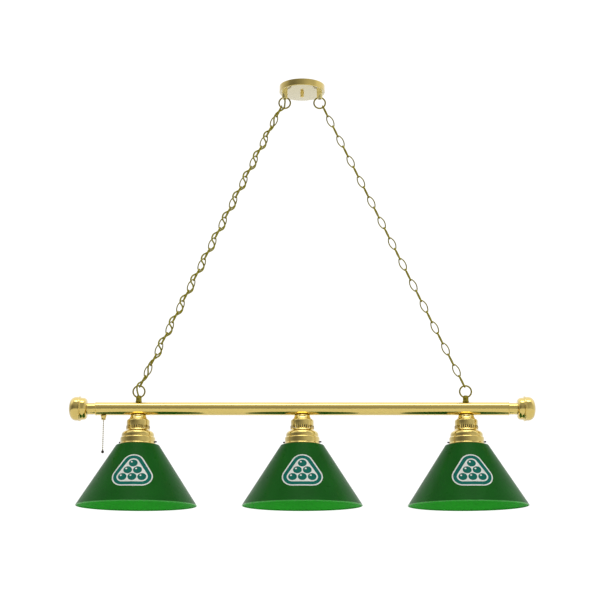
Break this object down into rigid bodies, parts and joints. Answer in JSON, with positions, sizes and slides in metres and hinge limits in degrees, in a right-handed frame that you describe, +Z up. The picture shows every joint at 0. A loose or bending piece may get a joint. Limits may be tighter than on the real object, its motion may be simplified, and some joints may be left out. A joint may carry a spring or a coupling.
{
  "type": "pool table lamp",
  "caption": "Hanging lamp for a billiard table: brass bar with conical enamelled shades, woven-cord chain suspension, round ceiling canopy and pull-chain switch.",
  "frame": {"origin": "centre of the canopy's top rim, on the ceiling plane", "axes": "+Z up, +X along the bar, -Y towards the front"},
  "size_m": [1.491, 0.382, 1.4007],
  "materials": {
    "polished_brass": "polished and lacquered",
    "chain_brass": "polished, slightly aged",
    "bead_brass": "polished",
    "shell_brass": "bright",
    "green_enamel": "gloss enamel",
    "bronze_dark": "satin",
    "plated_steel": "zinc plated",
    "green_screw": "gloss",
    "black_phenolic": "moulded",
    "frosted_glass": "frosted",
    "bulb_base_aluminium": "rolled thread",
    "cord_jacket": "gold-olive PVC",
    "lead_insulation": "PVC",
    "connector_plastic": "moulded"
  },
  "bodies": {
    "canopy": {"canopy_pan": "polished_brass", "crossbar": "plated_steel", "ground_screw": "green_screw", "center_stud": "plated_steel", "center_nut": "polished_brass", "canopy_loop_left": "polished_brass", "canopy_loop_right": "polished_brass", "canopy_nipples": "plated_steel", "canopy_washers": "plated_steel", "canopy_lock_nuts": "plated_steel", "canopy_leads": "lead_insulation", "wire_connectors": "connector_plastic", "cord_feed": "cord_jacket"},
    "upper_link_left": {"left_top_link": "chain_brass", "cord_top": "cord_jacket"},
    "chain_left": {"left_chain": "chain_brass", "cord_weave": "cord_jacket"},
    "lower_link_left": {"left_bottom_link": "chain_brass", "cord_bottom": "cord_jacket"},
    "upper_link_right": {"right_top_link": "chain_brass"},
    "chain_right": {"right_chain": "chain_brass"},
    "lower_link_right": {"right_bottom_link": "chain_brass"},
    "bar": {"bar_tube": "polished_brass", "left_neck": "polished_brass", "right_neck": "polished_brass", "left_knob_inner": "polished_brass", "left_knob_outer": "polished_brass", "right_knob_inner": "polished_brass", "right_knob_outer": "polished_brass", "bar_loop_left": "polished_brass", "bar_loop_right": "polished_brass", "bar_nipples": "plated_steel", "bar_lock_nuts": "plated_steel", "bar_leads": "lead_insulation", "cord_tail": "cord_jacket", "left_holder": "polished_brass", "center_holder": "polished_brass", "right_holder": "polished_brass", "left_shade": "green_enamel", "center_shade": "green_enamel", "right_shade": "green_enamel", "left_socket": "black_phenolic", "center_socket": "black_phenolic", "right_socket": "black_phenolic", "left_bulb": "frosted_glass", "center_bulb": "frosted_glass", "right_bulb": "frosted_glass", "socket_shells": "shell_brass", "socket_contacts": "shell_brass", "bulb_bases": "bulb_base_aluminium", "shade_screws": "bronze_dark", "switch_body": "black_phenolic", "switch_nut": "plated_steel", "switch_ferrule": "polished_brass"},
    "plunger": {"switch_plunger": "plated_steel"},
    "swivel": {"swivel_bead": "bead_brass"},
    "pull_chain": {"ball_chain": "bead_brass", "pull_knob": "bronze_dark"}
  },
  "joints": [
    {"name": "swing", "type": "hinge", "parent": "canopy", "child": "upper_link_left", "pos_m": [-0.07014, 0, -0.07283], "axis": [1, 0, 0], "range_deg": [-10, 10]},
    {"name": "swing_right", "type": "hinge", "parent": "canopy", "child": "upper_link_right", "pos_m": [0.07014, 0, -0.07283], "axis": [1, 0, 0], "range_deg": [-10, 10]},
    {"name": "sway", "type": "hinge", "parent": "upper_link_left", "child": "chain_left", "pos_m": [-0.08656, 0, -0.10738], "axis": [0, 1, 0], "range_deg": [-3, 3]},
    {"name": "sway_right", "type": "hinge", "parent": "upper_link_right", "child": "chain_right", "pos_m": [0.08656, 0, -0.10738], "axis": [0, 1, 0], "range_deg": [-3, 3]},
    {"name": "level_left", "type": "hinge", "parent": "chain_left", "child": "lower_link_left", "pos_m": [-0.50306, 0, -0.98345], "axis": [0, 1, 0], "range_deg": [-0.6, 0.6]},
    {"name": "level_right", "type": "hinge", "parent": "chain_right", "child": "lower_link_right", "pos_m": [0.50306, 0, -0.98345], "axis": [0, 1, 0], "range_deg": [-0.6, 0.6]},
    {"name": "rock", "type": "hinge", "parent": "lower_link_left", "child": "bar", "pos_m": [-0.51948, 0, -1.01799], "axis": [1, 0, 0], "range_deg": [-12, 12]},
    {"name": "pull", "type": "slide", "parent": "bar", "child": "plunger", "axis": [0, 0, -1], "range_m": [0, 0.007], "stiffness_N_per_m": 300, "springref_m": -0.004},
    {"name": "pull_sway", "type": "hinge", "parent": "plunger", "child": "swivel", "pos_m": [-0.634, 0, -1.1317], "axis": [0, 1, 0], "range_deg": [-9, 40]},
    {"name": "pull_swing", "type": "hinge", "parent": "swivel", "child": "pull_chain", "pos_m": [-0.634, 0, -1.1317], "axis": [1, 0, 0], "range_deg": [-40, 40]}
  ],
  "couplings": [
    {"joint": "swing_right", "follows": "swing", "ratio": 1},
    {"joint": "sway_right", "follows": "sway", "ratio": 1},
    {"joint": "level_left", "follows": "sway", "ratio": -0.172},
    {"joint": "level_right", "follows": "sway", "ratio": -0.172}
  ]
}
